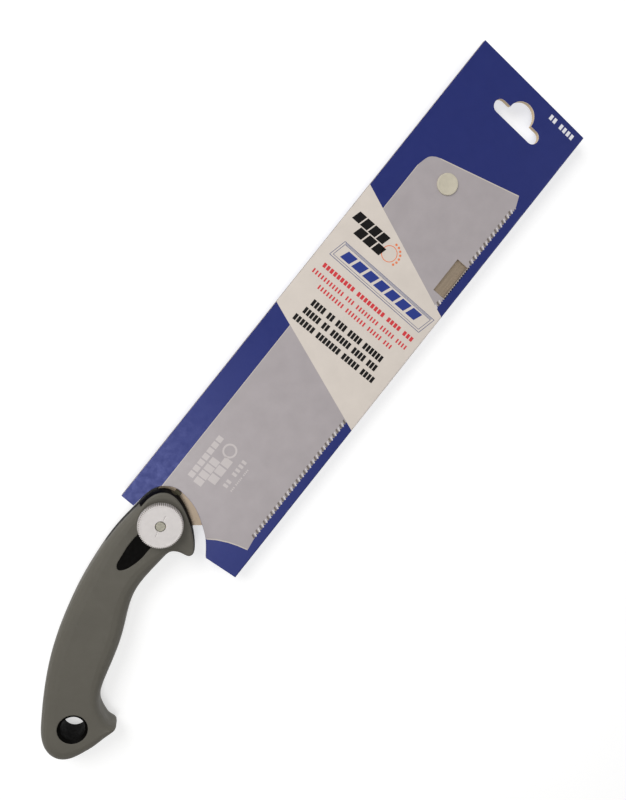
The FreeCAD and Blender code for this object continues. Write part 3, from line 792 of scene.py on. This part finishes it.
def wordsAlong(shape, y, height, start, end, words, boldness=0.8):
    count = sum(words) + 0.8 * (len(words) - 1)
    pitch = (end - start) / count
    x = start
    for word in words:
        for letter in range(word):
            addBlock(shape, (x + pitch / 2, y), (pitch * boldness, height))
            x += pitch
        x += pitch * 0.8


pictureLook = {
    "spine": 12.2, "tooth": -53.9, "root": -51.2, "pitch": 3.63, "first": 24.0,
    "last": 286.4, "tipTop": (278.3, 3.5), "tipBottom": (294.8, -50.1),
    "heel": [(9.6, -35.5), (12.5, -42.3), (14.3, -48.1), (15.8, -54.9)],
    "windowLow": (214.8, -53.1), "windowHigh": (239.2, -44.4), "toothLean": 0.39,
}


def pictureOutline():
    look = pictureLook
    edge = [look["heel"][-1], (look["first"], look["tooth"] + 0.3)]
    x = look["first"]
    while x < look["last"] - 0.6:
        edge += [(x + 0.3, look["tooth"]), (x + 1.0, look["tooth"] + 1.1),
                 (x + 1.9, look["tooth"] - 0.1), (x + 2.8, look["tooth"] + 1.1)]
        x += look["pitch"]
    edge += [(287.4, -53.4), look["tipBottom"], look["tipTop"]]
    edge += smoothLine([(276.9, 6.6), (273.5, 10.1), (265.8, look["spine"])], 5)
    edge += [(16.6, look["spine"])]
    edge += smoothLine([(19.4, 8.4), (21.0, 4.0), (20.9, -0.6), (19.4, -8.4), (16.5, -15.6),
                        (11.9, -22.6), (6.3, -29.6)], 6)
    edge += smoothLine([(6.6, -30.3)] + look["heel"], 5)[:-1]
    return edge


def windowLoop():
    low, high = pictureLook["windowLow"], pictureLook["windowHigh"]
    return [low, (high[0], low[1]), high, (low[0], high[1])]


def bladePicture():
    look = pictureLook
    shape = bmesh.new()
    fillLoops(shape, [pictureOutline(), windowLoop()])
    printInk("bladePicture", shape, inks["pictureGrey"])

    dark = bmesh.new()
    light = bmesh.new()
    x = look["first"] + 1.4
    depth = look["root"] - look["tooth"]
    while x < look["last"]:
        inWindow = look["windowLow"][0] - 1.5 < x < look["windowHigh"][0] + 1.5
        if not inWindow:
            addBlock(dark, (x, look["root"] - depth * 0.42), (1.25, depth * 0.95))
            addBlock(light, (x + 1.7, look["root"] - depth * 0.55), (0.8, depth * 0.9))
        x += look["pitch"]
    for stripes in (dark, light):
        for corner in stripes.verts:
            drop = look["root"] - inSaw(corner.co).y
            corner.co.x -= look["toothLean"] * drop * mm
    printInk("pictureGullets", dark, inks["gulletShade"], 2)
    printInk("pictureTeeth", light, inks["toothShine"], 2)

    glint = bmesh.new()
    fillLoops(glint, [[(16.6, look["spine"]), (265.8, look["spine"]), (265.8, 11.8),
                       (16.9, 11.8)]])
    fillLoops(glint, [[look["tipTop"], look["tipBottom"], (294.1, -50.0), (277.8, 3.2)]])
    fillLoops(glint, [[(6.3, -30.1)] + look["heel"]
                      + [(16.2, -53.9), (14.9, -47.9), (13.1, -42.0), (10.2, -35.2),
                         (6.9, -29.9)]])
    printInk("pictureEdgeLight", glint, inks["edgeLight"], 2)


def pictureMarks():
    shape = bmesh.new()
    wordsAlong(shape, 2.2, 3.9, 31.0, 62.4, (7,))
    wordsAlong(shape, -4.0, 5.8, 29.8, 49.6, (4,), 0.84)
    wordsAlong(shape, -10.2, 5.8, 35.6, 54.4, (3,), 0.84)
    wordsAlong(shape, -18.6, 3.2, 38.2, 59.4, (2, 4), 0.6)
    wordsAlong(shape, -23.4, 1.1, 38.6, 56.0, (3, 5, 4), 0.6)
    fillLoops(shape, ring((58.2, -7.2), 4.6, 3.4))
    printInk("pictureMarks", shape, inks["paleMark"], 2)


# Each row: x, block height, first and last y, blocks in each group, lean and boldness.
bandRows = {
    "black": [
        (218.0, 6.3, 23.0, -2.6, (4,), -0.27, 0.86),
        (211.2, 6.0, 16.6, -5.0, (3,), -0.27, 0.86),
        (160.4, 4.3, 10.6, -46.8, (4, 2, 3, 4, 6), 0.0, 0.76),
        (153.8, 4.3, 11.6, -47.4, (5, 2, 6, 4, 3), 0.0, 0.76),
        (147.0, 4.1, 14.0, -50.8, (6, 7, 5, 4), 0.0, 0.76),
    ],
    "red": [
        (182.2, 3.0, 19.6, -54.4, (9, 8, 4, 3), 0.0, 0.72),
        (175.7, 2.9, 22.7, -54.4, (11, 3, 8, 5, 4), 0.0, 0.46),
        (170.0, 2.9, 13.8, -46.6, (9, 7, 5, 3), 0.0, 0.46),
    ],
}


def bandPrint():
    (upperX, upperY), (lowerX, lowerY), (lastX, _), (startX, _) = printLook["bandCorners"]
    inset = 0.95
    slant = (upperX - lowerX) / (upperY - lowerY)
    top = upperY - 0.05
    bottom = lowerY + inset
    shape = bmesh.new()
    fillLoops(shape, [[(upperX + slant * (top - upperY), top),
                       (lowerX + slant * (bottom - lowerY), bottom),
                       (lastX + slant * (bottom - lowerY), bottom),
                       (startX + slant * (top - upperY), top)]])
    printInk("paleBand", shape, inks["bandPaper"], 3)

    for name, colour in (("bandBlackRows", "black"), ("bandRedRows", "red")):
        rows = bmesh.new()
        for x, height, start, end, words, lean, boldness in bandRows[colour]:
            wordsDown(rows, x, height, start, end, words, lean, boldness)
        printInk(name, rows, inks[colour], 4)

    orange = bmesh.new()
    centre = (213.4, -8.4)
    fillLoops(orange, ring(centre, 5.2, 4.7))
    for turn in range(-60, 61, 20):
        heading = math.radians(turn - 60)
        dot = (centre[0] + 7.0 * math.cos(heading), centre[1] + 7.0 * math.sin(heading))
        fillLoops(orange, [arcLine(dot, 0.8, 0, 330, 11)])
    printInk("bandOrangeRing", orange, inks["orange"], 4)

    border = bmesh.new()
    outer = [(201.4, 17.7), (189.2, 20.5), (188.3, -54.2), (200.8, -57.2)]
    middle = [(201.05, 17.45), (189.6, 20.05), (188.7, -53.85), (200.45, -56.75)]
    fillLoops(border, [outer, middle])
    fillLoops(border, [[(200.0, 16.6), (190.6, 18.7), (189.7, -52.8), (199.3, -55.2)],
                       [(199.7, 16.3), (190.9, 18.3), (190.0, -52.5), (199.0, -54.8)]])
    printInk("bandFrame", border, inks["frameBlue"], 4)

    greyEdge = bmesh.new()
    fillLoops(greyEdge, [[(200.95, 16.9), (200.15, 16.6), (199.5, -55.2), (200.3, -55.6)]])
    printInk("bandFrameShade", greyEdge, inks["frameShade"], 4)
    blue = bmesh.new()
    wordsDown(blue, 195.2, 6.0, 14.0, -48.6, (7,), -0.4, 0.8)
    printInk("bandBlueBlocks", blue, inks["signBlue"], 4)


def farEndMark():
    shape = bmesh.new()
    wordsDown(shape, 344.6, 3.4, -33.4, -54.6, (2, 4), 0.0, 0.66)
    printInk("farEndBars", shape, inks["white"])


def backPrint():
    panel = bmesh.new()
    fillLoops(panel, [[(60, 6), (300, 6), (300, -50), (60, -50)]])
    printInk("backPanel", panel, inks["bandPaper"], 1, True)
    rows = bmesh.new()
    for y, words in ((-2, (6, 3, 8, 5)), (-8, (4, 7, 2, 6, 3)), (-14, (5, 5, 8, 4)),
                     (-20, (7, 3, 4, 6))):
        wordsAlong(rows, y, 2.4, 70, 170, words, 0.7)
    printInk("backRows", rows, inks["black"], 2, True)
    figures = bmesh.new()
    for index in range(3):
        x = 190 + index * 36
        fillLoops(figures, [[(x, -4), (x + 30, -4), (x + 30, -34), (x, -34)],
                            [(x + 0.8, -4.8), (x + 29.2, -4.8), (x + 29.2, -33.2),
                             (x + 0.8, -33.2)]])
        fillLoops(figures, [[(x + 5, -14), (x + 25, -17), (x + 25, -25), (x + 5, -22)]])
    printInk("backFigures", figures, inks["signBlue"], 2, True)
    bars = bmesh.new()
    x = 76.0
    while x < 108:
        width = random.choice((0.4, 0.7, 1.0, 1.4))
        addBlock(bars, (x, -38), (width, 14))
        x += width + random.choice((0.5, 0.8, 1.1))
    printInk("backBars", bars, inks["black"], 2, True)


random.seed(31)
inks = {
    "pictureGrey": inkFinish("pictureGrey", ink(168, 161, 163), 0.04),
    "gulletShade": inkFinish("gulletShade", ink(112, 104, 98)),
    "toothShine": inkFinish("toothShine", ink(208, 204, 204)),
    "edgeLight": inkFinish("edgeLight", ink(198, 190, 180)),
    "paleMark": inkFinish("paleMark", ink(193, 186, 185)),
    "bandPaper": inkFinish("bandPaper", ink(212, 203, 194), 0.03),
    "black": inkFinish("blackInk", ink(16, 14, 14)),
    "red": inkFinish("redInk", ink(206, 60, 66)),
    "orange": inkFinish("orangeInk", ink(226, 128, 88)),
    "frameBlue": inkFinish("frameBlue", ink(92, 98, 132)),
    "frameShade": inkFinish("frameShade", ink(160, 158, 168)),
    "signBlue": inkFinish("signBlue", ink(42, 58, 134)),
    "white": inkFinish("whiteInk", ink(224, 224, 230)),
}
bladePicture()
pictureMarks()
bandPrint()
farEndMark()
backPrint()
print("sleeve and its print made")
